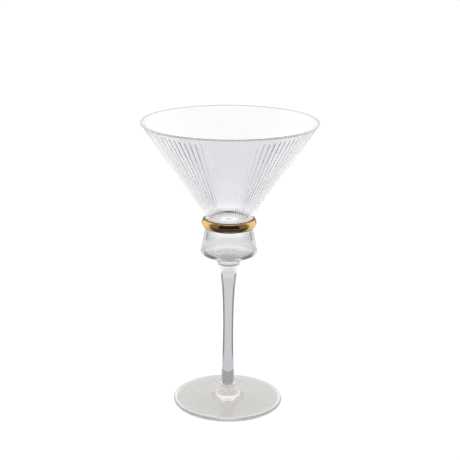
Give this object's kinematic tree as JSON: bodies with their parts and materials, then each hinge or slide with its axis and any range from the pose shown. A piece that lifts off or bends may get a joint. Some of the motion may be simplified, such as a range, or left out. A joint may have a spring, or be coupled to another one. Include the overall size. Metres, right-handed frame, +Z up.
{
  "type": "martini glass",
  "caption": "Stemmed cocktail glass: fine-ribbed conical bowl, gold neck ring, hollow clear lower cup, slender stem and round foot.",
  "frame": {"origin": "centre of the circle on which the foot rests, at the bottom of the glass", "axes": "+Z up along the glass's axis, from foot to rim; the glass is round, so X and Y are free"},
  "size_m": [0.119, 0.119, 0.2],
  "materials": {
    "bowl_glass": "clear, smooth outside, fine ribs inside",
    "clear_glass": "clear, fire-polished",
    "gold": "polished gold"
  },
  "bodies": {
    "root": {"bowl": "bowl_glass", "neck_ring": "gold", "lower_cup": "clear_glass", "stem": "clear_glass", "foot": "clear_glass"}
  },
  "joints": []
}
